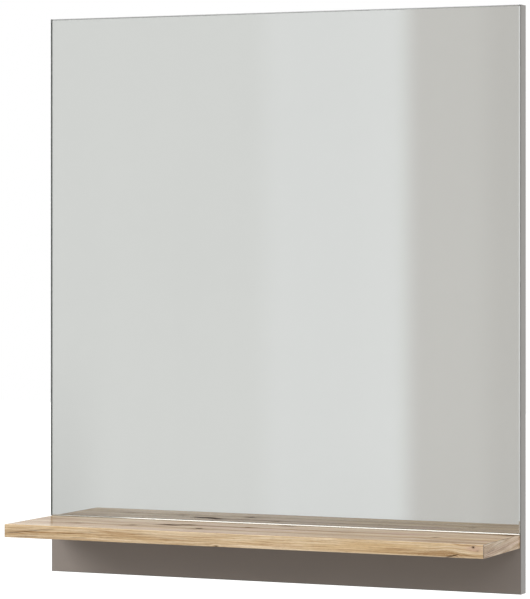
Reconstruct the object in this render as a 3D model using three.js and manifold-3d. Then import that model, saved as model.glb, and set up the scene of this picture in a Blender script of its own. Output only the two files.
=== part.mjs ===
// A wall mirror with a shelf. A grey melamine panel carries a mirror taped to its front; an oak-faced
// shelf crosses it at the mirror's foot, doweled and screwed to it from behind; two pressed keyhole
// hangers and two rubber bumpers on its back meet the wall.
//
// Millimetres, +Z up. The origin is the centre of the panel's back face: the front looks toward -Y,
// the wall lies toward +Y, and +X is to the right of someone who looks at the mirror.

import * as THREE from "three";
import { mergeVertices } from "three/addons/utils/BufferGeometryUtils.js";
import Module from "manifold-3d";

// ---- Driving dimensions ----

// Back panel, and the plastic edge bands that the panel and the shelf share
const panelWidth = 780;
const panelHeight = 870;
const panelThickness = 22;
const bandThickness = 1;
const bandRadius = 0.75;

// Shelf
const shelfDepth = 158;
const shelfThickness = 20;
const shelfEndInset = 2; // from the panel's side to the shelf's end
const skirtHeight = 68; // bare panel below the shelf

// Mirror
const glassThickness = 4;
const glassArris = 0.75; // ground chamfer on each long edge
const glassSeatGap = 0.5; // between the shelf and the glass that stands over it
const glassEdgeInset = 0.25; // from the panel's sides and top to the glass

// Tape strips behind the mirror
const tapeThickness = 1;
const tapeWidth = 25;
const tapeCount = 5;
const tapeSideInset = 70; // from the glass's side to the middle of the outer strip
const tapeEndInset = 40; // from the glass's top and foot to the strip's ends

// Countersunk screws that hold the shelf, from the back of the panel
const shelfScrewCount = 4;
const shelfScrewEndInset = 70; // from the shelf's end to the outer screw
const shelfScrewLength = 50;
const shelfScrewRadius = 2.5;
const shelfScrewHeadRadius = 5;

// Dowels beside them
const dowelSpacing = 32; // from a screw to its dowel
const dowelRadius = 4;
const dowelLength = 30;
const dowelChamfer = 1;
const dowelInPanel = 11;
const dowelEndRoom = 1; // glue room past each end of a dowel

// Keyhole hangers: a pressed plate with two flat tabs and a raised middle
const hangerSideInset = 130; // from the panel's side to the keyhole
const hangerTopInset = 90; // from the panel's top to the keyhole's round entry
const sheetThickness = 1.5;
const hangerStandOff = 5; // clear depth behind the raised middle, for a screw head
const hangerMiddleWidth = 34;
const hangerRampWidth = 6;
const hangerTabWidth = 18;
const hangerHeight = 34;
const hangerCornerRadius = 5;
const bendRadius = 2; // at the middle of the sheet
const keyholeRadius = 5;
const keyholeSlotWidth = 5;
const keyholeSlotRise = 12; // from the entry's centre to the slot's upper centre

// Countersunk screws of the hangers
const hangerScrewLength = 16;
const hangerScrewRadius = 1.75;
const hangerScrewHeadRadius = 3.5;

// Rubber wall bumpers
const bumperRadius = 10;
const bumperFaceRadius = 8;
const bumperSideInset = 60; // from the panel's side to the bumper's centre
const bumperFootInset = 30; // from the panel's foot to the bumper's centre

// Clearances and facets
const boreClearance = 0.15; // around a screw or dowel in its bore
const screwTipLength = 4;
const roundSides = 24; // round a screw, dowel or bumper
const cornerSteps = 5; // round an arc of an outline
const bendSteps = 4;

// ---- Sizes that follow ----

const panelBack = 0;
const panelFront = panelBack - panelThickness;
const panelTop = panelHeight / 2;
const panelFoot = panelTop - panelHeight;
const panelSide = panelWidth / 2;

const shelfLength = panelWidth - 2 * shelfEndInset;
const shelfUnderside = panelFoot + skirtHeight;
const shelfTop = shelfUnderside + shelfThickness;
const shelfMiddle = shelfUnderside + shelfThickness / 2;
const shelfCoreLength = shelfLength - 2 * bandThickness;
const shelfCoreDepth = shelfDepth - bandThickness;

const glassBack = panelFront - tapeThickness;
const glassWidth = panelWidth - 2 * glassEdgeInset;
const glassFoot = shelfTop + glassSeatGap;
const glassHeight = panelTop - glassEdgeInset - glassFoot;

const hangerFace = panelBack + hangerStandOff + sheetThickness;
const hangerX = panelSide - hangerSideInset;
const hangerZ = panelTop - hangerTopInset;
const hangerScrewX = hangerMiddleWidth / 2 + hangerRampWidth + hangerTabWidth / 2;
const hangerMiddleZ = hangerZ + (keyholeSlotRise + keyholeSlotWidth / 2 - keyholeRadius) / 2;

// ---- Materials ----

function finish(color, roughness, metalness = 0) {
  return new THREE.MeshStandardMaterial({ color, roughness, metalness });
}

const greyMelamine = finish(0x81786f, 0.5);
const greyBand = finish(0x8d8680, 0.45);
const oak = finish(0xc9ab84, 0.5);
const oakBand = finish(0xc4a67e, 0.5);
const silveredGlass = finish(0xd3d6d4, 0.03, 1);
const foamTape = finish(0xf0efea, 0.9);
const beech = finish(0xd8b98c, 0.8);
const zincSteel = finish(0xb9bcc0, 0.35, 1);
const blackRubber = finish(0x2a2a2b, 0.9);

// ---- Solids ----

const wasm = await Module();
wasm.setup();

// A closed geometry as a solid that can be cut and joined.
function solidOf(geometry) {
  const bare = geometry.index ? geometry.toNonIndexed() : geometry.clone();
  bare.deleteAttribute("normal");
  bare.deleteAttribute("uv");
  const merged = mergeVertices(bare, 1e-4);
  return new wasm.Manifold(
    new wasm.Mesh({
      numProp: 3,
      vertProperties: merged.attributes.position.array,
      triVerts: new Uint32Array(merged.index.array),
    }),
  );
}

function geometryOf(solid) {
  const { vertProperties, triVerts } = solid.getMesh();
  const geometry = new THREE.BufferGeometry();
  geometry.setAttribute("position", new THREE.BufferAttribute(vertProperties, 3));
  geometry.setIndex(new THREE.BufferAttribute(triVerts, 1));
  return geometry;
}

function cut(geometry, cutters) {
  let solid = solidOf(geometry);
  for (const cutter of cutters) solid = solid.subtract(solidOf(cutter));
  return geometryOf(solid);
}

const right = new THREE.Vector3(1, 0, 0);
const left = right.clone().negate();
const back = new THREE.Vector3(0, 1, 0);
const front = back.clone().negate();
const up = new THREE.Vector3(0, 0, 1);
const down = up.clone().negate();

// An outline drawn along two directions and extruded along the third, half of it on each side.
function prism(shape, across, along, length, options = {}) {
  const settings = { depth: length, bevelEnabled: false, curveSegments: cornerSteps, ...options };
  const geometry = new THREE.ExtrudeGeometry(shape, settings);
  geometry.translate(0, 0, -length / 2);
  const outward = across.clone().cross(along);
  return geometry.applyMatrix4(new THREE.Matrix4().makeBasis(across, along, outward));
}

// An outline drawn as the front is seen, X to the right and Z up, and extruded in depth.
function slab(shape, depth, options) {
  return prism(shape, right, up, depth, options);
}

function rectangle(width, height) {
  return new THREE.Shape([
    new THREE.Vector2(-width / 2, -height / 2),
    new THREE.Vector2(width / 2, -height / 2),
    new THREE.Vector2(width / 2, height / 2),
    new THREE.Vector2(-width / 2, height / 2),
  ]);
}

function roundedRectangle(width, height, radius) {
  const x = width / 2 - radius;
  const y = height / 2 - radius;
  const shape = new THREE.Shape();
  shape.absarc(x, y, radius, 0, Math.PI / 2);
  shape.absarc(-x, y, radius, Math.PI / 2, Math.PI);
  shape.absarc(-x, -y, radius, Math.PI, 1.5 * Math.PI);
  shape.absarc(x, -y, radius, 1.5 * Math.PI, 2 * Math.PI);
  return shape;
}

// A round piece with its axis along Y, from [radius, y] pairs in order of y.
function turned(profile) {
  const points = profile.map(([radius, y]) => new THREE.Vector2(radius, y));
  return new THREE.LatheGeometry(points, roundSides);
}

// ---- Edge bands ----

// A band's section: flat where it is glued, with its two outer corners rounded. The first
// coordinate runs out from the board, the second across the board's thickness.
function bandSection(boardThickness) {
  const half = boardThickness / 2;
  const radius = Math.min(bandRadius, bandThickness);
  const shape = new THREE.Shape();
  shape.moveTo(0, -half);
  shape.absarc(bandThickness - radius, radius - half, radius, -Math.PI / 2, 0);
  shape.absarc(bandThickness - radius, half - radius, radius, 0, Math.PI / 2);
  shape.lineTo(0, half);
  return shape;
}

function edgeBand(outward, acrossBoard, length, boardThickness) {
  return prism(bandSection(boardThickness), outward, acrossBoard, length);
}

// ---- Fasteners ----

// A countersunk screw along Y, its flat head at y = 0 and its point toward -Y. Its bore is the same
// shape grown by a clearance.
function screwProfile(length, radius, headRadius, clearance = 0) {
  const headDepth = headRadius - radius;
  return [
    [0, -length - clearance],
    [radius + clearance, screwTipLength - length],
    [radius + clearance, -headDepth - clearance],
    [headRadius + clearance, clearance ? -clearance : 0],
    ...(clearance ? [[headRadius + clearance, clearance]] : []),
    [0, clearance],
  ];
}

function shelfScrew(clearance) {
  return turned(screwProfile(shelfScrewLength, shelfScrewRadius, shelfScrewHeadRadius, clearance));
}

function hangerScrew(clearance) {
  return turned(
    screwProfile(hangerScrewLength, hangerScrewRadius, hangerScrewHeadRadius, clearance),
  );
}

// A dowel along Y, with its middle at y = 0 and chamfered ends.
function dowel() {
  const end = dowelLength / 2;
  return turned([
    [0, -end],
    [dowelRadius - dowelChamfer, -end],
    [dowelRadius, dowelChamfer - end],
    [dowelRadius, end - dowelChamfer],
    [dowelRadius - dowelChamfer, end],
    [0, end],
  ]);
}

function dowelBore() {
  const end = dowelLength / 2 + dowelEndRoom;
  const radius = dowelRadius + boreClearance;
  return turned([
    [0, -end],
    [radius, -end],
    [radius, end],
    [0, end],
  ]);
}

// Where the shelf's screws stand, from left to right, and its dowels, each inboard of its screw.
const shelfScrewXs = Array.from({ length: shelfScrewCount }, (_, i) => {
  const span = shelfLength - 2 * shelfScrewEndInset;
  return span * (i / (shelfScrewCount - 1) - 0.5);
});
const dowelXs = shelfScrewXs.map((x) => x - Math.sign(x) * dowelSpacing);
const dowelY = panelFront + dowelInPanel - dowelLength / 2;

function shelfJointBores() {
  return [
    ...shelfScrewXs.map((x) => shelfScrew(boreClearance).translate(x, panelBack, shelfMiddle)),
    ...dowelXs.map((x) => dowelBore().translate(x, dowelY, shelfMiddle)),
  ];
}

// ---- Keyhole hanger ----

// The outline of a bent sheet, from the corners of its middle line: each corner is an arc, and the
// two sides lie half a thickness to the left and right of it.
function sheetOutline(corners, thickness, radius) {
  const leftSide = [];
  const rightSide = [];
  const put = (point, normal) => {
    leftSide.push(point.clone().addScaledVector(normal, thickness / 2));
    rightSide.push(point.clone().addScaledVector(normal, -thickness / 2));
  };
  const directions = corners.slice(1).map((c, i) => c.clone().sub(corners[i]).normalize());
  const normals = directions.map((d) => new THREE.Vector2(-d.y, d.x));
  put(corners[0], normals[0]);
  for (let i = 1; i < corners.length - 1; i++) {
    const before = directions[i - 1];
    const turn = Math.asin(before.cross(directions[i]));
    const tangent = radius * Math.tan(Math.abs(turn) / 2);
    const start = corners[i].clone().addScaledVector(before, -tangent);
    const centre = start.clone().addScaledVector(normals[i - 1], radius * Math.sign(turn));
    for (let step = 0; step <= bendSteps; step++) {
      const angle = (turn * step) / bendSteps;
      const point = start.clone().rotateAround(centre, angle);
      put(point, normals[i - 1].clone().rotateAround(new THREE.Vector2(), angle));
    }
  }
  put(corners.at(-1), normals.at(-1));
  return new THREE.Shape([...rightSide, ...leftSide.reverse()]);
}

function keyholeShape() {
  const slot = keyholeSlotWidth / 2;
  const opening = Math.asin(slot / keyholeRadius);
  const shape = new THREE.Shape();
  shape.absarc(0, keyholeSlotRise, slot, 0, Math.PI);
  shape.absarc(0, 0, keyholeRadius, Math.PI / 2 + opening, 2.5 * Math.PI - opening);
  return shape;
}

// The hanger as it lies on the panel: y = 0 is the panel's back, the keyhole's entry is at x = z = 0.
function hangerPlate() {
  const middle = hangerMiddleWidth / 2;
  const rampFoot = middle + hangerRampWidth;
  const end = rampFoot + hangerTabWidth;
  const low = sheetThickness / 2;
  const high = hangerStandOff + sheetThickness / 2;
  const corners = [
    new THREE.Vector2(end, low),
    new THREE.Vector2(rampFoot, low),
    new THREE.Vector2(middle, high),
    new THREE.Vector2(-middle, high),
    new THREE.Vector2(-rampFoot, low),
    new THREE.Vector2(-end, low),
  ];
  const centreZ = hangerMiddleZ - hangerZ;
  const throughDepth = 4 * high; // reaches past both faces of the bent sheet
  const outline = roundedRectangle(2 * end, hangerHeight, hangerCornerRadius);
  const bent = prism(sheetOutline(corners, sheetThickness, bendRadius), right, back, hangerHeight);
  bent.translate(0, 0, centreZ);
  const blank = slab(outline, throughDepth).translate(0, 0, centreZ);
  const keyhole = slab(keyholeShape(), throughDepth, { curveSegments: roundSides });
  const plate = geometryOf(solidOf(bent).intersect(solidOf(blank)));
  const screwBores = [-hangerScrewX, hangerScrewX].map((x) =>
    hangerScrew(boreClearance).translate(x, sheetThickness, centreZ),
  );
  return cut(plate, [keyhole, ...screwBores]);
}

// ---- Assembly ----

const mirrorWithShelf = new THREE.Group();

function add(parent, name, geometry, material, x = 0, y = 0, z = 0) {
  const mesh = new THREE.Mesh(geometry, material);
  mesh.name = name;
  mesh.position.set(x, y, z);
  parent.add(mesh);
}

function addPanel() {
  const panel = new THREE.Group();
  const coreWidth = panelWidth - 2 * bandThickness;
  const coreHeight = panelHeight - 2 * bandThickness;
  const middleY = (panelBack + panelFront) / 2;
  const board = slab(rectangle(coreWidth, coreHeight), panelThickness);
  board.translate(0, middleY, 0);
  const hangerBores = [-1, 1].flatMap((side) =>
    [-1, 1].map((end) =>
      hangerScrew(boreClearance).translate(
        side * hangerX + end * hangerScrewX,
        panelBack + sheetThickness,
        hangerMiddleZ,
      ),
    ),
  );
  add(panel, "back_panel", cut(board, [...shelfJointBores(), ...hangerBores]), greyMelamine);

  const lying = (outward) => edgeBand(outward, back, coreWidth, panelThickness);
  const standing = (outward) => edgeBand(outward, back, panelHeight, panelThickness);
  add(panel, "panel_band_top", lying(up), greyBand, 0, middleY, coreHeight / 2);
  add(panel, "panel_band_bottom", lying(down), greyBand, 0, middleY, -coreHeight / 2);
  add(panel, "panel_band_left", standing(left), greyBand, -coreWidth / 2, middleY, 0);
  add(panel, "panel_band_right", standing(right), greyBand, coreWidth / 2, middleY, 0);
  mirrorWithShelf.add(panel);
}

function addMirror() {
  const mirror = new THREE.Group();
  const flatDepth = glassThickness - 2 * glassArris;
  const glass = slab(rectangle(glassWidth, glassHeight), flatDepth, {
    bevelEnabled: true,
    bevelThickness: glassArris,
    bevelSize: glassArris,
    bevelOffset: -glassArris,
    bevelSegments: 1,
  });
  const glassMiddle = glassFoot + glassHeight / 2;
  add(mirror, "mirror_glass", glass, silveredGlass, 0, glassBack - glassThickness / 2, glassMiddle);

  const span = glassWidth - 2 * tapeSideInset;
  for (let i = 0; i < tapeCount; i++) {
    const x = span * (i / (tapeCount - 1) - 0.5);
    const strip = slab(rectangle(tapeWidth, glassHeight - 2 * tapeEndInset), tapeThickness);
    const tapeMiddle = panelFront - tapeThickness / 2;
    add(mirror, `mirror_tape_${i + 1}`, strip, foamTape, x, tapeMiddle, glassMiddle);
  }
  mirrorWithShelf.add(mirror);
}

function addShelf() {
  const shelf = new THREE.Group();
  const coreMiddleY = panelFront - shelfCoreDepth / 2;
  const board = prism(rectangle(shelfCoreLength, shelfCoreDepth), right, back, shelfThickness);
  board.translate(0, coreMiddleY, shelfMiddle);
  add(shelf, "shelf_board", cut(board, shelfJointBores()), oak);

  const frontBand = edgeBand(front, up, shelfLength, shelfThickness);
  const endBand = (outward) => edgeBand(outward, up, shelfCoreDepth, shelfThickness);
  const coreEnd = shelfCoreLength / 2;
  const bandY = panelFront - shelfCoreDepth;
  add(shelf, "shelf_band_front", frontBand, oakBand, 0, bandY, shelfMiddle);
  add(shelf, "shelf_band_left", endBand(left), oakBand, -coreEnd, coreMiddleY, shelfMiddle);
  add(shelf, "shelf_band_right", endBand(right), oakBand, coreEnd, coreMiddleY, shelfMiddle);

  shelfScrewXs.forEach((x, i) => {
    add(shelf, `shelf_screw_${i + 1}`, shelfScrew(0), zincSteel, x, panelBack, shelfMiddle);
  });
  dowelXs.forEach((x, i) => {
    add(shelf, `shelf_dowel_${i + 1}`, dowel(), beech, x, dowelY, shelfMiddle);
  });
  mirrorWithShelf.add(shelf);
}

function addHanger(side, name) {
  const hanger = new THREE.Group();
  hanger.position.set(side * hangerX, panelBack, 0);
  add(hanger, `hanger_plate_${name}`, hangerPlate(), zincSteel, 0, 0, hangerZ);
  [-hangerScrewX, hangerScrewX].forEach((x, i) => {
    const screwName = `hanger_screw_${name}_${i + 1}`;
    add(hanger, screwName, hangerScrew(0), zincSteel, x, sheetThickness, hangerMiddleZ);
  });
  mirrorWithShelf.add(hanger);
}

// A rubber disc with a drafted side, as thick as the hangers stand off.
function addBumper(side, name) {
  const disc = turned([
    [0, panelBack],
    [bumperRadius, panelBack],
    [bumperRadius, panelBack + sheetThickness],
    [bumperFaceRadius, hangerFace],
    [0, hangerFace],
  ]);
  const x = side * (panelSide - bumperSideInset);
  const z = panelFoot + bumperFootInset;
  add(mirrorWithShelf, `wall_bumper_${name}`, disc, blackRubber, x, 0, z);
}

addPanel();
addMirror();
addShelf();
addHanger(-1, "left");
addHanger(1, "right");
addBumper(-1, "left");
addBumper(1, "right");

export default mirrorWithShelf;
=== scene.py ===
"""Looks of a wall mirror with a shelf.

Silvered glass covers a taupe-grey board down to an oak shelf, and a bare skirt shows below it.
Metres. The mirror faces -Y, the wall lies toward +Y, +Z is up.
"""

from math import cos, pi, radians, sin

import bmesh
import bpy
from mathutils import Matrix, Vector


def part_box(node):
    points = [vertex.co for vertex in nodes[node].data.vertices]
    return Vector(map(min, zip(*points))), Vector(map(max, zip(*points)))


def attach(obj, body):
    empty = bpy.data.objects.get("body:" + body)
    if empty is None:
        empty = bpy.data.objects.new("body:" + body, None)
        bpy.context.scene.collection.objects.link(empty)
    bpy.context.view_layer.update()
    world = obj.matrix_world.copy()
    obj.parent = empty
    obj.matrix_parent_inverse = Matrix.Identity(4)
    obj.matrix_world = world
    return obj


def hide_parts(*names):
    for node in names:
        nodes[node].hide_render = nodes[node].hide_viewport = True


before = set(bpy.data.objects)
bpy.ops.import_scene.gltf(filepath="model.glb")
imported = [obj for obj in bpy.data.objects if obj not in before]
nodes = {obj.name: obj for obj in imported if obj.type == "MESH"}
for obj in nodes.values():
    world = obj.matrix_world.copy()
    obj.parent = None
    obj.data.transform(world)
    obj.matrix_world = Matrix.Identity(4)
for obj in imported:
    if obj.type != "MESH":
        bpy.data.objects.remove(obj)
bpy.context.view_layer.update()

MM = 0.001


# ---- Shader sums ----


class Shade:
    """A socket of a finish's node tree. A sum with it adds the Math node that works it out."""

    def __init__(self, finish, socket):
        self.finish = finish
        self.socket = socket

    def __add__(self, other):
        return self.finish.math("ADD", self, other)

    def __sub__(self, other):
        return self.finish.math("SUBTRACT", self, other)

    def __mul__(self, other):
        return self.finish.math("MULTIPLY", self, other)

    def __truediv__(self, other):
        return self.finish.math("DIVIDE", self, other)

    def __rsub__(self, other):
        return self.finish.math("SUBTRACT", other, self)

    def __rtruediv__(self, other):
        return self.finish.math("DIVIDE", other, self)

    __radd__ = __add__
    __rmul__ = __mul__


def rgba(value):
    """A colour as a socket takes it; anything else as it is."""
    return (*value, 1.0) if isinstance(value, tuple) and len(value) == 3 else value


class Finish:
    """The node tree of a material or of the world."""

    def __init__(self, owner):
        owner.use_nodes = True
        self.owner = owner
        self.tree = owner.node_tree
        self.tree.nodes.clear()

    def node(self, kind, inputs=None, output=0, stops=None, **settings):
        """Adds a node with its settings, feeds its sockets, and gives one of its outputs.

        The stops are a colour ramp's.
        """
        node = self.tree.nodes.new(kind)
        for name, value in settings.items():
            setattr(node, name, value)
        if stops:
            ramp = node.color_ramp
            while len(ramp.elements) < len(stops):
                ramp.elements.new(1.0)
            for element, (position, colour) in zip(ramp.elements, stops):
                element.position = position
                element.color = (*colour, 1.0)
        for name, value in (inputs or {}).items():
            if isinstance(value, Shade):
                self.tree.links.new(value.socket, node.inputs[name])
            else:
                node.inputs[name].default_value = value
        return Shade(self, node.outputs[output])

    def math(self, operation, first, second=0.0):
        return self.node("ShaderNodeMath", {0: first, 1: second}, operation=operation)

    def absolute(self, value):
        return self.math("ABSOLUTE", value)

    def larger(self, first, second):
        return self.math("MAXIMUM", first, second)

    def ease(self, value, low, high, low_out=0.0, high_out=1.0):
        """Runs smoothly from low_out to high_out while value runs from low to high."""
        ends = {0: value, 1: low, 2: high, 3: low_out, 4: high_out}
        return self.node("ShaderNodeMapRange", ends, interpolation_type="SMOOTHSTEP")

    def mix(self, factor, first, second, blend="MIX"):
        colours = {0: factor, 6: rgba(first), 7: rgba(second)}
        return self.node("ShaderNodeMix", colours, 2, data_type="RGBA", blend_type=blend)

    def shaded(self, colour, tone):
        """A colour made lighter or darker by a tone about 1."""
        grey = self.node("ShaderNodeCombineColor", {0: tone, 1: tone, 2: tone})
        return self.mix(1.0, colour, grey, "MULTIPLY")

    def ramp(self, value, stops):
        return self.node("ShaderNodeValToRGB", {0: value}, stops=stops)

    def place(self):
        return self.node("ShaderNodeTexCoord", output="Object")

    def axes(self, vector):
        return [self.node("ShaderNodeSeparateXYZ", {0: vector}, axis) for axis in range(3)]

    def point(self, x, y, z):
        return self.node("ShaderNodeCombineXYZ", {0: x, 1: y, 2: z})

    def noise(self, vector, scale=1.0, detail=2.0, roughness=0.5):
        sizes = {"Vector": vector, "Scale": scale, "Detail": detail, "Roughness": roughness}
        return self.node("ShaderNodeTexNoise", sizes)

    def stretched(self, vector, scales, detail=2.0, roughness=0.5):
        """Noise with its own scale along each axis."""
        scaled = self.node("ShaderNodeMapping", {"Vector": vector, "Scale": scales})
        return self.noise(scaled, 1.0, detail, roughness)

    def bump(self, height, distance, strength=1.0):
        inputs = {"Height": height, "Distance": distance, "Strength": strength}
        return self.node("ShaderNodeBump", inputs)

    def surface(self, **sockets):
        """A principled surface, its sockets named with underscores for their spaces."""
        inputs = {name.replace("_", " "): rgba(value) for name, value in sockets.items()}
        self.end(self.node("ShaderNodeBsdfPrincipled", inputs), "ShaderNodeOutputMaterial")
        return self.owner

    def end(self, shader, kind):
        output = self.tree.nodes.new(kind)
        self.tree.links.new(shader.socket, output.inputs["Surface"])


def new_finish(name):
    return Finish(bpy.data.materials.new(name))


# ---- Board finishes ----


def melamine(name, colour, joint_axis=None, joint_at=0.0, roughness=0.42):
    """Satin melamine: a pearl texture, a faint cloud in the print, and the glue line at a joint."""
    f = new_finish(name)
    place = f.place()
    cloud = f.noise(place, 7.0, 3.0)
    print_grain = f.noise(place, 1100.0, 2.0)
    pearl = f.noise(place, 1600.0, 2.0)
    tone = 0.9 + 0.12 * cloud + 0.08 * print_grain
    if joint_axis is not None:
        from_joint = f.absolute(f.absolute(f.axes(place)[joint_axis]) - joint_at)
        tone = tone * f.ease(from_joint, 0.05 * MM, 0.22 * MM, 0.55, 1.0)
    return f.surface(
        Base_Color=f.shaded(colour, tone),
        Roughness=roughness + 0.1 * f.noise(place, 55.0, 3.0),
        Normal=f.bump(pearl, 0.03 * MM, 0.4),
    )


OAK_PALE = (0.73, 0.585, 0.40)
OAK_LIGHT = (0.61, 0.45, 0.27)
OAK_GOLD = (0.58, 0.39, 0.185)
OAK_ROSE = (0.56, 0.385, 0.275)
OAK_BROWN = (0.33, 0.195, 0.085)
OAK_DARK = (0.05, 0.028, 0.016)


class Grain:
    """Oak grain on one face: `along` runs with the fibre, `across` over it, in metres.

    A fineness above 1 packs the fibres closer. The masks say where dark, brown, rosy and pale
    wood lies. A mark's numbers are the place of its middle along and across the fibre, its half
    length and half width, a streak's slope, and its strength.
    """

    def __init__(self, finish, along, across, seed, fineness=1.0):
        self.f = finish
        self.along = along
        self.across = across
        self.seed = seed
        self.fineness = fineness
        self.flow = across
        self.masks = {}

    def mask(self, name):
        return self.masks.get(name, 0.0)

    def add_to(self, name, factor):
        held = self.masks.get(name)
        self.masks[name] = factor if held is None else self.f.larger(held, factor)

    def cloth(self, along_scale, across_scale, detail=2.0, roughness=0.5, shift=0.0):
        """Noise that follows the fibres, with its own scale along and across them.

        The shift picks another stretch of it.
        """
        across = self.flow * (across_scale * self.fineness)
        point = self.f.point(self.along * along_scale, across, self.seed + shift)
        return self.f.noise(point, 1.0, detail, roughness)

    def drift(self, reach, along_scale, across_scale, shift):
        """Lets the fibres wander off their straight line."""
        sway = self.cloth(along_scale, across_scale, shift=shift) - 0.5
        self.flow = self.flow + reach * sway

    def rings(self, per_metre, shift):
        """Growth rings: each darkens slowly from its pale side and ends in a sharp dark line."""
        wander = 3.2 * self.cloth(9.0, 40.0, 3.0, 0.55, shift)
        phase = self.f.math("FRACT", self.flow * (per_metre * self.fineness) + wander)
        return self.f.ease(phase, 0.25, 0.9) * self.f.ease(phase, 1.0, 0.93)

    def hill(self, at, width, height):
        """Arches the fibres over a place, as a cut across a growth cone shows."""
        from_middle = (self.along - at) / width
        bell = self.f.math("EXPONENT", -1.0 * from_middle * from_middle)
        self.flow = self.flow - height * bell

    def knot(self, at, across_at, half_length, half_width, darkness):
        """A small knot: a dark heart in a brown rim, with the fibres parting round it."""
        f = self.f
        u = (self.along - at) / half_length
        v = (self.across - across_at) / half_width
        ripple = 0.55 * (f.noise(f.point(u, v, self.seed + at * 40.0), 1.3, 2.0) - 0.5)
        distance = f.math("SQRT", u * u + v * v) + ripple
        heart = f.ease(distance, 1.1, 0.5)
        rim = f.ease(distance, 2.2, 0.9, 0.0, 0.4)
        self.add_to("dark", darkness * f.larger(heart, rim))
        parting = f.math("EXPONENT", -0.16 * (u * u + v * v))
        self.flow = self.flow - 1.1 * half_width * v * parting

    def streak(self, at, across_at, half_length, half_width, slope, darkness):
        """A dark split or mineral line along the fibres, frayed at its sides."""
        f = self.f
        run = self.along - at
        bend = 0.8 * half_width * (f.noise(f.point(self.along * 60.0, self.seed, at), 1.0) - 0.5)
        fray = 1.4 * half_width * (self.cloth(50.0, 700.0, shift=at) - 0.5)
        off = f.absolute(self.across - across_at - slope * run + bend) + fray
        taper = f.ease(f.absolute(run), half_length, 0.3 * half_length)
        self.add_to("dark", darkness * taper * f.ease(off, half_width, 0.3 * half_width))

    def patch(self, mask, at, across_at, half_length, half_width, strength):
        """A soft patch of wood of another tone."""
        f = self.f
        u = (self.along - at) / half_length
        v = (self.across - across_at) / half_width
        ripple = 0.6 * (self.cloth(20.0, 260.0, shift=at) - 0.5)
        distance = f.math("SQRT", u * u + v * v) + ripple
        self.add_to(mask, strength * f.ease(distance, 1.2, 0.3))

    def cone(self, at, across_at, half_length, half_height, strength):
        """Nested brown arches where the saw ran through a growth cone."""
        f = self.f
        u = (self.along - at) / half_length
        v = (self.across - across_at) / half_height
        ripple = 0.22 * (f.noise(f.point(self.along, self.across, self.seed), 260.0) - 0.5)
        distance = f.math("SQRT", u * u + v * v) + ripple
        arch = f.math("FRACT", 8.0 * distance)
        line = f.ease(arch, 0.2, 0.7) * f.ease(arch, 1.0, 0.8)
        self.add_to("brown", strength * line * f.ease(distance, 1.05, 0.5))


def oak(name, layout, tint, broad):
    """Light knotty oak under a smooth lacquer. `layout` gives the face's grain and a tone for its
    joints, with the painted highlights and light of some faces.

    `broad` is how strongly wide bands of browner wood show.
    """
    f = new_finish(name)
    grain, joint_and_light_tone = layout(f)
    grain.drift(9.0 * MM, 3.0, 14.0, 3.1)
    grain.drift(2.2 * MM, 18.0, 80.0, 7.7)
    grain.drift(0.9 * MM, 75.0, 240.0, 13.9)
    bands = grain.cloth(2.6, 52.0, shift=11.0)
    lines = grain.cloth(13.0, 310.0, 3.0, 0.6, shift=17.0)
    dashes = f.ease(grain.cloth(55.0, 900.0, shift=19.0), 0.53, 0.66)
    fibres = grain.cloth(45.0, 2600.0, roughness=0.6, shift=23.0)
    rosy = f.ease(grain.cloth(3.5, 26.0, shift=29.0), 0.5, 0.68)
    golden = f.ease(grain.cloth(3.0, 30.0, shift=43.0), 0.5, 0.68)
    pores = f.ease(grain.cloth(110.0, 2600.0, detail=1.0, shift=31.0), 0.58, 0.68)
    rings = grain.rings(210.0, 37.0)

    brown = f.ease(bands, 0.52, 0.34, 0.0, broad)
    brown = brown + 0.45 * rings * f.ease(bands, 0.62, 0.42, 0.3, 1.0)
    brown = brown + f.ease(lines, 0.47, 0.30, 0.0, 0.55) + 0.22 * dashes + grain.mask("brown")
    dark = grain.mask("dark")
    wood = f.mix(f.ease(lines, 0.64, 0.44), OAK_PALE, OAK_LIGHT)
    wood = f.mix(0.6 * golden, wood, OAK_GOLD)
    wood = f.mix(f.larger(0.6 * rosy, grain.mask("rose")), wood, OAK_ROSE)
    wood = f.mix(brown, wood, OAK_BROWN)
    wood = f.mix(grain.mask("pale"), wood, OAK_PALE)
    wood = f.shaded(wood, 0.86 + 0.28 * fibres)
    wood = f.mix(0.3 * pores, wood, OAK_DARK)
    wood = f.mix(dark, wood, OAK_DARK)
    wood = f.mix(1.0, wood, tint, "MULTIPLY")
    # The joints' dark lines, and on the front and end bands painted highlights and painted light.
    wood = f.shaded(wood, joint_and_light_tone)
    height = 0.5 * fibres + 0.5 * lines - 0.8 * pores - 1.2 * dark
    return f.surface(
        Base_Color=wood,
        Roughness=0.55 + 0.2 * fibres + 0.15 * dark,
        Specular_IOR_Level=0.0,
        Coat_Weight=(0.74 - 0.7 * dark) * (1.0 - 0.2 * pores),
        Coat_Roughness=0.2,
        Normal=f.bump(height, 0.06 * MM, 0.5),
    )


def joint_line(f, from_joint, tone=0.3, width=0.6 * MM):
    """The thin dark line where two pieces of the shelf meet, as a tone for the wood."""
    return f.ease(from_joint, 0.2 * width, width, tone, 1.0)


SHELF_LOW, SHELF_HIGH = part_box("shelf_board")
SHELF_FRONT_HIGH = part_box("shelf_band_front")[1]
SHELF_SEED_TOP, SHELF_SEED_UNDER, SHELF_SEED_FRONT, SHELF_SEED_END = 4.3, 9.6, 2.2, 7.4


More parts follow.
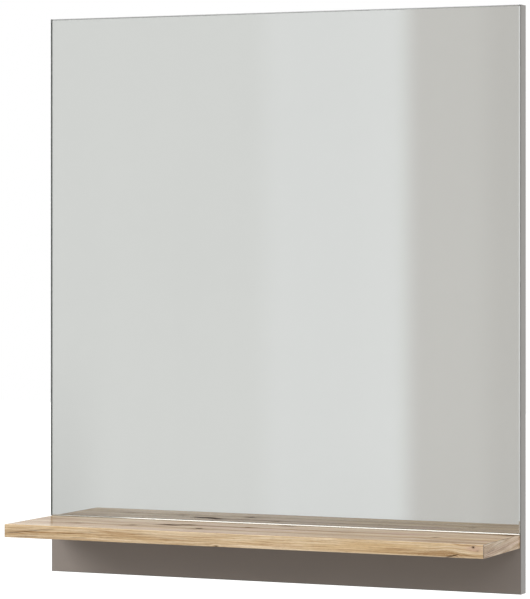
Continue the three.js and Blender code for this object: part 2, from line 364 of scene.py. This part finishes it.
def shelf_face_layout(f):
    """Grain of the shelf's top, with its knots and its long split, and of its underside."""
    x, y, z = f.axes(f.place())
    upper = f.math("GREATER_THAN", z, (SHELF_LOW.z + SHELF_HIGH.z) / 2)
    seed = SHELF_SEED_UNDER + (SHELF_SEED_TOP - SHELF_SEED_UNDER) * upper
    grain = Grain(f, x, y, seed)
    for streak in (
        (-0.142, -0.0850, 0.046, 13.0 * MM, 0.24, 1.0),
        (0.023, -0.0380, 0.022, 7.0 * MM, 0.0, 0.75),
        (-0.230, -0.0880, 0.060, 5.0 * MM, 0.02, 0.3),
    ):
        grain.streak(*streak)
    for patch in (
        ("dark", -0.075, -0.0810, 0.075, 8.0 * MM, 0.36),
        ("dark", -0.365, -0.1100, 0.075, 75.0 * MM, 0.15),
        ("brown", -0.040, -0.0820, 0.120, 10.0 * MM, 0.8),
        ("brown", 0.110, -0.0850, 0.120, 9.0 * MM, 0.6),
        ("brown", -0.040, -0.0400, 0.080, 5.0 * MM, 0.5),
        ("brown", 0.330, -0.1480, 0.070, 18.0 * MM, 0.28),
        ("rose", 0.222, -0.0780, 0.060, 24.0 * MM, 0.75),
        ("rose", -0.300, -0.1300, 0.045, 16.0 * MM, 0.5),
        ("pale", -0.270, -0.0450, 0.120, 14.0 * MM, 0.6),
        ("pale", 0.100, -0.0350, 0.260, 9.0 * MM, 0.5),
    ):
        grain.patch(*patch)
    for knot in (
        (-0.087, -0.122, 8.0 * MM, 7.0 * MM, 1.0),
        (-0.026, -0.079, 6.5 * MM, 7.0 * MM, 0.72),
        (-0.203, -0.114, 7.0 * MM, 7.0 * MM, 0.6),
        (-0.295, -0.117, 8.0 * MM, 7.0 * MM, 0.4),
        (0.142, -0.093, 6.0 * MM, 5.0 * MM, 0.4),
        (0.287, -0.106, 5.0 * MM, 7.0 * MM, 0.5),
        (0.377, -0.036, 8.0 * MM, 7.0 * MM, 0.8),
    ):
        grain.knot(*knot)
    for mask, where in grain.masks.items():
        grain.masks[mask] = where * upper
    end = SHELF_HIGH.x - f.absolute(x)
    return grain, joint_line(f, end) * joint_line(f, y - SHELF_LOW.y, 0.8)


def shelf_front_layout(f):
    """Grain of the front band: streaks at its left, a growth cone and a knot at its right."""
    x, y, z = f.axes(f.place())
    grain = Grain(f, x, z, SHELF_SEED_FRONT, 1.5)
    for streak in (
        (-0.372, -0.3590, 0.020, 1.0 * MM, 0.06, 0.62),
        (-0.345, -0.3560, 0.024, 1.0 * MM, 0.10, 0.6),
        (-0.318, -0.3530, 0.022, 0.9 * MM, 0.08, 0.5),
        (-0.350, -0.3640, 0.026, 0.9 * MM, 0.04, 0.45),
        (-0.281, -0.3575, 0.024, 0.9 * MM, 0.06, 0.5),
        (-0.250, -0.3550, 0.030, 0.8 * MM, 0.04, 0.4),
        (-0.262, -0.3625, 0.020, 0.8 * MM, 0.03, 0.4),
        (-0.200, -0.3600, 0.034, 0.8 * MM, 0.03, 0.35),
        (-0.155, -0.3530, 0.026, 0.8 * MM, 0.02, 0.35),
        (-0.100, -0.3580, 0.034, 0.8 * MM, 0.02, 0.3),
        (0.340, -0.3645, 0.015, 1.5 * MM, 0.26, 0.8),
        (0.364, -0.3628, 0.016, 1.2 * MM, -0.12, 0.35),
    ):
        grain.streak(*streak)
    for knot in (
        (0.3725, -0.3508, 1.8 * MM, 1.6 * MM, 1.0),
        (0.379, -0.3560, 1.6 * MM, 0.9 * MM, 0.4),
        (-0.032, -0.3660, 3.0 * MM, 1.0 * MM, 0.7),
    ):
        grain.knot(*knot)
    grain.cone(0.318, -0.3740, 0.054, 20.0 * MM, 1.0)
    for patch in (
        ("brown", -0.350, -0.3580, 0.060, 9.0 * MM, 0.35),
        ("brown", 0.312, -0.3628, 0.042, 4.0 * MM, 0.35),
        ("brown", -0.300, -0.3652, 0.120, 3.0 * MM, 0.5),
        ("pale", -0.100, -0.3500, 0.110, 4.0 * MM, 0.5),
        ("rose", 0.374, -0.3530, 0.015, 5.5 * MM, 0.95),
        ("pale", 0.220, -0.3664, 0.260, 1.6 * MM, 0.55),
    ):
        grain.patch(*patch)
    grain.hill(0.335, 0.018, 2.5 * MM)
    end = SHELF_FRONT_HIGH.x - f.absolute(x)
    # Painted highlight: the band grows lighter just below its upper edge.
    painted_edge_highlight = f.ease(z, SHELF_HIGH.z - 1.4 * MM, SHELF_HIGH.z - 0.4 * MM, 1.0, 1.12)
    joints = joint_line(f, SHELF_LOW.y - y, 0.8) * joint_line(f, end, 0.35, 0.8 * MM)
    return grain, joints * painted_edge_highlight


def shelf_end_layout(f):
    """Grain of an end band, rising toward the panel, with painted light that grows toward it.

    A share of x keeps the two ends from being alike.
    """
    x, y, z = f.axes(f.place())
    grain = Grain(f, y + 0.37 * x, z - 0.07 * y, SHELF_SEED_END, 2.0)
    for streak in (
        (-0.007, -0.3484, 0.024, 0.9 * MM, 0.027, 0.6),
        (-0.022, -0.3539, 0.018, 0.9 * MM, -0.04, 0.5),
        (0.024, -0.3436, 0.030, 0.8 * MM, 0.03, 0.45),
        (0.054, -0.3530, 0.034, 0.8 * MM, 0.02, 0.4),
    ):
        grain.streak(*streak)
    for patch in (
        ("brown", 0.105, -0.3590, 0.034, 4.0 * MM, 0.6),
        ("brown", 0.062, -0.3592, 0.030, 4.0 * MM, 0.5),
        ("pale", 0.030, -0.3425, 0.032, 4.5 * MM, 0.6),
    ):
        grain.patch(*patch)
    joints = joint_line(f, f.absolute(x) - SHELF_HIGH.x)
    joints = joints * joint_line(f, y - SHELF_LOW.y, 0.4, 2.2 * MM)
    upper_edge = joint_line(f, SHELF_HIGH.z - z, 0.5, 0.8 * MM)
    # Painted highlight along the rear edge, and painted light growing toward the panel and mirror.
    painted_rear_highlight = f.ease(SHELF_HIGH.y - y, 5.0 * MM, 2.0 * MM, 1.0, 1.15)
    painted_light_toward_panel = f.ease(y, -0.100, -0.03, 1.06, 1.17)
    return grain, joints * upper_edge * painted_rear_highlight * painted_light_toward_panel


# ---- Other finishes ----


def clear_glass():
    return new_finish("clear_glass").surface(
        Base_Color=(0.965, 0.98, 0.972), Roughness=0.0, IOR=1.5, Transmission_Weight=1.0
    )


def edge_seal():
    """Grey lacquer over the ground sides of the glass."""
    f = new_finish("glass_edge_seal")
    mottle = f.noise(f.place(), 900.0, 3.0)
    return f.surface(
        Base_Color=f.shaded((0.2, 0.2, 0.195), 0.85 + 0.3 * mottle),
        Roughness=0.62 + 0.2 * mottle,
        Normal=f.bump(mottle, 0.05 * MM, 0.5),
    )


def silver():
    """The silvering, with the slightest unevenness that float glass shows."""
    f = new_finish("silver")
    cloud = f.noise(f.place(), 5.0, 1.0)
    return f.surface(
        Base_Color=f.shaded((0.56, 0.574, 0.576), 0.99 + 0.02 * cloud),
        Roughness=0.0,
        Metallic=1.0,
    )


def back_paint():
    f = new_finish("silver_back_paint")
    flow = f.noise(f.place(), 35.0, 3.0)
    return f.surface(
        Base_Color=f.shaded((0.13, 0.15, 0.14), 0.85 + 0.3 * flow),
        Roughness=0.45 + 0.2 * flow,
        Normal=f.bump(flow, 0.1 * MM, 0.3),
    )


def zinc(name, brightness=1.0):
    """Zinc-plated steel: dull clouds, fine rolling marks and a few scratches.

    A brightness below 1 paints shade, for the dark inside of a recess.
    """
    f = new_finish(name)
    place = f.place()
    cloud = f.noise(place, 160.0, 4.0)
    rolling = f.stretched(place, (300.0, 4000.0, 5200.0), 2.0)
    scratch = f.ease(f.stretched(place, (5200.0, 900.0, 260.0), 1.0), 0.66, 0.74)
    warm = f.mix(f.ease(cloud, 0.35, 0.7), (0.60, 0.62, 0.645), (0.66, 0.645, 0.59))
    tone = brightness * (0.85 + 0.2 * rolling + 0.12 * scratch)
    return f.surface(
        Base_Color=f.shaded(warm, tone),
        Roughness=0.26 + 0.2 * cloud + 0.08 * rolling,
        Metallic=1.0,
        Normal=f.bump(rolling + 0.6 * cloud - scratch, 0.02 * MM, 0.4),
    )


def rubber():
    f = new_finish("black_rubber")
    place = f.place()
    skin = f.noise(place, 1500.0, 3.0)
    bloom = f.ease(f.noise(place, 140.0, 4.0), 0.45, 0.75)
    return f.surface(
        Base_Color=f.mix(0.5 * bloom, (0.018, 0.018, 0.019), (0.06, 0.059, 0.057)),
        Roughness=0.68 + 0.16 * bloom,
        Normal=f.bump(skin, 0.05 * MM, 0.5),
    )


def foam():
    f = new_finish("foam_tape")
    place = f.place()
    cells = f.node("ShaderNodeTexVoronoi", {"Vector": place, "Scale": 1800.0})
    cloud = f.noise(place, 40.0, 3.0)
    return f.surface(
        Base_Color=f.shaded((0.85, 0.85, 0.82), 0.8 + 0.18 * cells + 0.08 * cloud),
        Roughness=0.85 + 0.1 * cloud,
        Normal=f.bump(cells, 0.08 * MM, 0.6),
    )


def beech():
    """Raw beech: short dark flecks along the fibre."""
    f = new_finish("beech")
    place = f.place()
    fibres = f.stretched(place, (1500.0, 60.0, 1500.0), 3.0, 0.6)
    flecks = f.ease(f.stretched(place, (2400.0, 420.0, 2400.0), 1.0), 0.6, 0.68)
    wood = f.ramp(fibres, [(0.3, (0.50, 0.32, 0.17)), (0.7, (0.70, 0.50, 0.30))])
    return f.surface(
        Base_Color=f.mix(0.5 * flecks, wood, (0.34, 0.19, 0.09)),
        Roughness=0.68 + 0.2 * fibres,
        Normal=f.bump(fibres - flecks, 0.06 * MM, 0.5),
    )


# ---- Shapes ----


def piece(name, shape, finishes, slot, *replaced, smooth_angle=30):
    """Makes an object from a bmesh, which rides on the part and stands for CAD nodes."""
    mesh = bpy.data.meshes.new(name)
    bmesh.ops.recalc_face_normals(shape, faces=shape.faces)
    shape.to_mesh(mesh)
    shape.free()
    mesh.shade_smooth()
    mesh.set_sharp_from_angle(angle=radians(smooth_angle))
    for finish in finishes:
        mesh.materials.append(finish)
    made = bpy.data.objects.new(name, mesh)
    bpy.context.scene.collection.objects.link(made)
    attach(made, "root")
    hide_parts(*replaced)


def block(low, high):
    shape = bmesh.new()
    place = Matrix.Translation((low + high) / 2) @ Matrix.Diagonal((*(high - low), 1.0))
    bmesh.ops.create_cube(shape, size=1.0, matrix=place)
    return shape


def chamfer(shape, edges, width):
    bmesh.ops.bevel(
        shape,
        geom=edges,
        offset=width,
        offset_type="OFFSET",
        affect="EDGES",
        segments=1,
        profile=0.5,
        material=-1,
    )


def edges_of(verts):
    """The edges that end in some corners, each once, in the corners' order."""
    return list(dict.fromkeys(edge for vert in verts for edge in vert.link_edges))


def ring(shape, radius, height, sides):
    """An open ring of edges at a height."""
    made = bmesh.ops.create_circle(
        shape, segments=sides, radius=radius, matrix=Matrix.Translation((0, 0, height))
    )
    return edges_of(made["verts"])


def draw_out(shape, edges, radius, profile):
    """Carries a ring of edges on through (radius, height) steps, and returns the last ring."""
    height = edges[0].verts[0].co.z
    for next_radius, next_height in profile:
        made = bmesh.ops.extrude_edge_only(shape, edges=edges)["geom"]
        edges = [e for e in made if isinstance(e, bmesh.types.BMEdge)]
        verts = [v for v in made if isinstance(v, bmesh.types.BMVert)]
        grow = next_radius / radius
        bmesh.ops.scale(shape, verts=verts, vec=(grow, grow, 1.0))
        bmesh.ops.translate(shape, verts=verts, vec=(0, 0, next_height - height))
        radius, height = next_radius, next_height
    return edges


def close(shape, edges):
    bmesh.ops.edgeloop_fill(shape, edges=edges)


def set_along_y(shape, low, high):
    """Turns a shape built down its Z axis toward -Y, to start in the middle of a box's back."""
    start = Vector(((low.x + high.x) / 2, high.y, (low.z + high.z) / 2))
    turn = Matrix.Translation(start) @ Matrix.Rotation(-pi / 2, 4, "X")
    bmesh.ops.transform(shape, matrix=turn, verts=shape.verts)


# ---- Mirror ----

FRONT_ARRIS = 1.5 * MM
BACK_ARRIS = 0.3 * MM
PAINT_THICKNESS = 0.1 * MM
PAINT_BITE = 0.02 * MM
SILVER_BITE = 0.05 * MM
SILVER_LEFT_GAP = 2.5 * MM


def add_mirror():
    """Clear glass with lacquered sides and clear arrises, the silver on its back, and the paint.

    The silver and the paint bite a hair into the glass, so that no air shows between them. The
    silver stops short of the left edge, where the paint shows through the glass as a dark line.
    """
    low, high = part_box("mirror_glass")
    glass_back = high.y - PAINT_THICKNESS
    pane = block(low, Vector((high.x, glass_back, high.z)))
    for y, width in ((low.y, FRONT_ARRIS), (glass_back, BACK_ARRIS)):
        rim = [e for e in pane.edges if all(abs(v.co.y - y) < 1e-6 for v in e.verts)]
        chamfer(pane, rim, width)
    pane.normal_update()
    for face in pane.faces:
        side_or_back_arris = -0.5 < face.normal.y < 0.9
        face.material_index = int(side_or_back_arris)
    piece("mirror_pane", pane, [clear_glass(), edge_seal()], "mirror", "mirror_glass")

    inset = Vector((BACK_ARRIS, 0, BACK_ARRIS))
    paint = block(Vector((low.x, glass_back - PAINT_BITE, low.z)) + inset, high - inset)
    piece("mirror_back_paint", paint, [back_paint()], "mirror", "mirror_glass")
    silver_low = Vector((low.x + SILVER_LEFT_GAP, glass_back - SILVER_BITE, low.z + BACK_ARRIS))
    silver_high = Vector((high.x, high.y - PAINT_THICKNESS / 2, high.z)) - inset
    piece("mirror_silver", block(silver_low, silver_high), [silver()], "mirror", "mirror_glass")


# ---- Fasteners and feet ----

ROUND_SIDES = 48  # of dowels and bumpers
SCREW_SIDES = 24
SCREW_FLAT = 0.93  # of the head's radius: the flat top of the head
SCREW_CORE = 0.72  # of the shank's radius: the core of the thread
RECESS_CELLS = 6  # across the square that the cross is sunk in
RECESS_DEPTH = 0.45  # of the head's radius
RECESS_TAPER = 0.62  # from the mouth of the recess to its floor
THREAD_START = 0.36  # of the screw's length
THREAD_RUN = 0.44  # of the screw's length
THREAD_STEPS = 16  # in a turn
FLUTE = 0.94  # of the dowel's radius: the floor of a flute


def add_screw(name, finishes, pitch):
    """A countersunk screw with a cross recess and a thread, in place of its plain CAD node.

    The finishes are the screw's own and its recess's, a darker zinc that paints shade.
    """
    low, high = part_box(name)
    head = (high.x - low.x) / 2
    shank = head / 2
    flat = SCREW_FLAT * head
    core = SCREW_CORE * shank
    length = high.y - low.y
    shape = bmesh.new()
    recess = 0.5 * head
    bmesh.ops.create_grid(shape, x_segments=RECESS_CELLS, y_segments=RECESS_CELLS, size=recess)
    arm = 1.01 * 2 * recess / RECESS_CELLS  # a cell's width and a hair
    border = [e for e in shape.edges if e.is_boundary]
    cross = [
        face
        for face in shape.faces
        if min(abs(face.calc_center_median().x), abs(face.calc_center_median().y)) < arm
    ]
    sunk = bmesh.ops.extrude_face_region(shape, geom=cross)["geom"]
    sunk_verts = [v for v in sunk if isinstance(v, bmesh.types.BMVert)]
    bmesh.ops.delete(shape, geom=cross, context="FACES_ONLY")
    bmesh.ops.scale(shape, verts=sunk_verts, vec=(RECESS_TAPER, RECESS_TAPER, 1.0))
    bmesh.ops.translate(shape, verts=sunk_verts, vec=(0, 0, -RECESS_DEPTH * head))
    for face in shape.faces:
        in_recess = face.calc_center_median().z < -0.01 * head
        face.material_index = int(in_recess)
    rim = ring(shape, flat, 0.0, SCREW_SIDES)
    bmesh.ops.bridge_loops(shape, edges=border + rim)
    body = [
        (head, -0.05 * head),
        (shank, shank - head),
        (shank, -0.3 * length),
        (core, -0.34 * length),
        (core, 0.16 * length - length),
        (0.1 * core, -length),
    ]
    close(shape, draw_out(shape, rim, flat, body))

    tooth = bmesh.ops.create_circle(
        shape, segments=3, radius=0.5 * (shank - core), matrix=Matrix.Rotation(pi / 2, 4, "X")
    )["verts"]
    reach = max(v.co.x for v in tooth)
    bmesh.ops.translate(shape, verts=tooth, vec=(shank - reach, 0, -THREAD_START * length))
    start = edges_of(tooth)
    turns = int(THREAD_RUN * length / pitch)
    wound = bmesh.ops.spin(
        shape,
        geom=start + tooth,
        cent=(0, 0, 0),
        axis=(0, 0, 1),
        dvec=(0, 0, -pitch / THREAD_STEPS),
        angle=2 * pi * turns,
        steps=THREAD_STEPS * turns,
    )["geom_last"]
    close(shape, start)
    close(shape, [e for e in wound if isinstance(e, bmesh.types.BMEdge)])
    set_along_y(shape, low, high)
    piece(f"{name}_cross_head", shape, finishes, "zinc_screw", name)


def add_dowel(name, finish):
    """A fluted dowel with chamfered ends."""
    low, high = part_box(name)
    radius = (high.x - low.x) / 2
    length = high.y - low.y
    chamfer_size = 0.25 * radius
    end_radius = radius - chamfer_size
    shape = bmesh.new()
    start = ring(shape, end_radius, 0.0, ROUND_SIDES)
    flutes = list(shape.verts)[1::2]
    bmesh.ops.scale(shape, verts=flutes, vec=(FLUTE, FLUTE, 1.0))
    close(shape, start)
    steps = [
        (radius, -chamfer_size),
        (radius, chamfer_size - length),
        (end_radius, -length),
    ]
    close(shape, draw_out(shape, start, end_radius, steps))
    set_along_y(shape, low, high)
    piece(f"{name}_fluted", shape, [finish], "beech", name, smooth_angle=12)


def add_bumper(name, finish):
    """A moulded rubber foot: a thin flange, a drafted side, rounded lips and a dished face."""
    low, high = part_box(name)
    flange = (high.x - low.x) / 2
    thickness = high.y - low.y
    face = 0.8 * flange
    hollow = 0.25 * face
    lip = 0.9 * MM
    shape = bmesh.new()
    rounding = [
        (face - lip + lip * cos(radians(angle)), lip * sin(radians(angle)) - lip)
        for angle in range(75, -1, -15)
    ]
    dish = ring(shape, hollow, -0.35 * MM, ROUND_SIDES)
    close(shape, dish)
    outside = [
        (0.55 * face, -0.3 * MM),
        (face - lip - 0.8 * MM, -0.05 * MM),
        (face - lip, 0.0),
        *rounding,
        (face + 0.9 * MM, 2.2 * MM - thickness),
        (flange - 0.4 * MM, 1.5 * MM - thickness),
        (flange, 1.1 * MM - thickness),
        (flange, -thickness),
    ]
    close(shape, draw_out(shape, dish, hollow, outside))
    set_along_y(shape, low, high)
    piece(f"{name}_moulded", shape, [finish], "rubber", name)


# ---- The part ----


def dress(finish, *names):
    """Gives carried-over CAD nodes their finish."""
    for name in names:
        for slot in nodes[name].material_slots:
            slot.material = finish


PANEL_GREY = (0.262, 0.227, 0.202)
BAND_GREY = (0.29, 0.277, 0.26)
BAND_ROUGHNESS = 0.36
PANEL_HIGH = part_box("back_panel")[1]
ACROSS, UPRIGHT = 0, 2  # axes of the panel

dress(melamine("grey_melamine", PANEL_GREY), "back_panel")
side_band = melamine("grey_side_band", BAND_GREY, ACROSS, PANEL_HIGH.x, BAND_ROUGHNESS)
end_band = melamine("grey_end_band", BAND_GREY, UPRIGHT, PANEL_HIGH.z, BAND_ROUGHNESS)
dress(side_band, "panel_band_left", "panel_band_right")
dress(end_band, "panel_band_top", "panel_band_bottom")

board_oak = oak("oak_board", shelf_face_layout, tint=(0.965, 0.965, 1.0), broad=0.5)
front_oak = oak("oak_front_band", shelf_front_layout, tint=(1.0, 1.0, 1.0), broad=0.3)
# The end band's bluer grey tint is painted sheen.
end_oak = oak("oak_end_band", shelf_end_layout, tint=(1.0, 1.03, 1.12), broad=0.5)
dress(board_oak, "shelf_board")
dress(front_oak, "shelf_band_front")
dress(end_oak, "shelf_band_left", "shelf_band_right")

dress(foam(), *[name for name in nodes if name.startswith("mirror_tape")])
dress(zinc("zinc_sheet"), "hanger_plate_left", "hanger_plate_right")

add_mirror()
# The recess's darker zinc is painted shade.
zinc_screw = [zinc("zinc_screw"), zinc("zinc_screw_recess_painted_shade", brightness=0.3)]
raw_beech = beech()
black_rubber = rubber()
for name in sorted(nodes):
    if name.startswith("shelf_screw"):
        add_screw(name, zinc_screw, pitch=2.2 * MM)
    elif name.startswith("hanger_screw"):
        add_screw(name, zinc_screw, pitch=1.4 * MM)
    elif name.startswith("shelf_dowel"):
        add_dowel(name, raw_beech)
    elif name.startswith("wall_bumper"):
        add_bumper(name, black_rubber)


# ---- Studio ----

FLOOR_Z = -1.05
FLOOR_REACH = 14.0
FLOOR_GREY = (0.33, 0.33, 0.327)
FLOOR_GLOW = 0.85  # what the camera sees on top of its lit grey
WHITE = (1.0, 1.0, 1.0)


def seen_in_gloss(f):
    """1 for a ray that left a polished or clear surface."""
    kinds = ("Is Glossy Ray", "Is Transmission Ray")
    glossy, clear = [f.node("ShaderNodeLightPath", output=kind) for kind in kinds]
    return f.larger(glossy, clear)


def add_floor():
    """A pale floor below the hanging mirror; the camera sees it as white as the backdrop.

    Its underside is clear, so that the mirror can also be looked at from below.
    """
    shape = bmesh.new()
    at = Matrix.Translation((0, 0, FLOOR_Z))
    bmesh.ops.create_grid(shape, x_segments=1, y_segments=1, size=FLOOR_REACH, matrix=at)
    mesh = bpy.data.meshes.new("floor")
    shape.to_mesh(mesh)
    shape.free()
    floor = bpy.data.objects.new("floor", mesh)
    bpy.context.scene.collection.objects.link(floor)
    floor.visible_glossy = False
    floor.visible_transmission = False
    f = new_finish("floor")
    direct = f.node("ShaderNodeLightPath", output="Is Camera Ray")
    look = {
        "Base Color": rgba(FLOOR_GREY),
        "Roughness": 0.9,
        "Emission Color": rgba(WHITE),
        "Emission Strength": FLOOR_GLOW * direct,
    }
    sides = {
        0: f.node("ShaderNodeNewGeometry", output="Backfacing"),
        1: f.node("ShaderNodeBsdfPrincipled", look),
        2: f.node("ShaderNodeBsdfTransparent"),
    }
    f.end(f.node("ShaderNodeMixShader", sides), "ShaderNodeOutputMaterial")
    mesh.materials.append(f.owner)


def mirrored_walls(f, x, y, z):
    """The pale soft walls that the mirror, the glass and the lacquer show, by their direction.

    Azimuths are in degrees from -Y toward +X, and z is the height of a direction of length 1.
    """
    azimuth = f.math("ARCTAN2", x, -1.0 * y) * (180.0 / pi)
    pale = (1.165, 1.143, 1.114)
    light = (1.235, 1.214, 1.195)
    half_shade = (0.982, 0.937, 0.893)
    shade = (0.918, 0.873, 0.829)
    wall = f.mix(f.ease(azimuth, -24.1, -23.4), pale, light)
    wall = f.mix(f.ease(azimuth, -21.4, -20.8), wall, half_shade)
    wall = f.mix(f.ease(azimuth, -19.9, -19.3), wall, shade)

    # Above the walls' lower part lies the tone of the shelf's sheen.
    upper = f.mix(f.ease(azimuth, -25.5, -21.5), (0.84, 0.85, 0.86), (0.36, 0.365, 0.37))
    wall = f.mix(f.ease(z, 0.08, 0.12), wall, upper)
    wall = f.mix(f.ease(azimuth, -12.0, 10.0), wall, pale)
    folds = f.noise(f.point(azimuth * 0.55, 0.0, 0.0), 1.0, 3.0)
    wall = f.shaded(wall, 0.97 + 0.06 * folds)
    wall = f.mix(f.ease(z, 0.5, 0.7), wall, (1.0, 1.0, 0.99))

    # A bright strip high up gives the line of light along the glass's foot.
    strip = f.ease(z, 0.26, 0.32) * f.ease(z, 0.52, 0.46)
    strip = strip * f.ease(azimuth, -34.0, -32.0) * f.ease(azimuth, 0.0, -8.0)
    glow = f.mix(f.ease(azimuth, -29.1, -28.5), (1.22, 1.1, 0.96), (2.67, 2.44, 2.22))
    wall = f.mix(strip, wall, glow)

    # They darken toward their foot, more so at the left.
    lower_left = f.ease(azimuth, -26.6, -27.6) * f.ease(z, -0.03, -0.095)
    wall = f.shaded(wall, f.ease(z, -0.2, -0.06, 0.8, 1.0) - 0.1 * lower_left)
    return f.mix(f.ease(y, -0.15, 0.15), wall, WHITE)


def add_world():
    """White behind the part, a soft sky for its light, and pale soft walls in what it mirrors."""
    world = bpy.data.worlds.new("studio")
    bpy.context.scene.world = world
    f = Finish(world)
    x, y, z = f.axes(f.node("ShaderNodeTexCoord", output="Generated"))
    sky_look = {0: rgba((1.0, 0.995, 0.985)), 1: f.ease(z, 0.1, 0.9, 0.55, 1.15)}
    sky = f.node("ShaderNodeBackground", sky_look)
    mirrored = f.node("ShaderNodeBackground", {0: mirrored_walls(f, x, y, z), 1: 1.0})
    backdrop = f.node("ShaderNodeBackground", {0: rgba(WHITE), 1: 1.0})
    around = f.node("ShaderNodeMixShader", {0: seen_in_gloss(f), 1: sky, 2: mirrored})
    direct = f.node("ShaderNodeLightPath", output="Is Camera Ray")
    seen = f.node("ShaderNodeMixShader", {0: direct, 1: around, 2: backdrop})
    f.end(seen, "ShaderNodeOutputWorld")


def add_lamp(name, place, size, power):
    light = bpy.data.lights.new(name, "AREA")
    light.shape = "DISK"
    light.size = size
    light.energy = power
    lamp = bpy.data.objects.new(name, light)
    lamp.location = place
    lamp.rotation_euler = (-Vector(place)).to_track_quat("-Z", "Y").to_euler()
    lamp.visible_glossy = False
    lamp.visible_transmission = False
    bpy.context.scene.collection.objects.link(lamp)


# The camera fitted to the photograph's edges: four lengths in its pixels, a place and a turn
IMAGE_HEIGHT = 599
FOCAL_PIXELS = 3041.2
AXIS_RIGHT_OF_MIDDLE = 0.08
HORIZON_ABOVE_MIDDLE = 67.18
CAMERA_PLACE = (1.85225, -4.27543, 0.0992)
CAMERA_TURN = radians(23.7826)


def add_camera():
    data = bpy.data.cameras.new("camera")
    data.sensor_width = 36.0
    data.lens = FOCAL_PIXELS / IMAGE_HEIGHT * data.sensor_width
    data.shift_x = -AXIS_RIGHT_OF_MIDDLE / IMAGE_HEIGHT
    data.shift_y = -HORIZON_ABOVE_MIDDLE / IMAGE_HEIGHT
    data.clip_end = 100.0
    camera = bpy.data.objects.new("camera", data)
    camera.location = CAMERA_PLACE
    camera.rotation_euler = (pi / 2, 0.0, CAMERA_TURN)
    bpy.context.scene.collection.objects.link(camera)
    bpy.context.scene.camera = camera


add_floor()
add_world()
add_lamp("key", (-3.9, -4.2, 2.9), size=4.0, power=285)
add_lamp("fill", (3.9, -1.35, 3.0), size=2.7, power=58)
add_camera()
bpy.context.scene.view_settings.view_transform = "Standard"
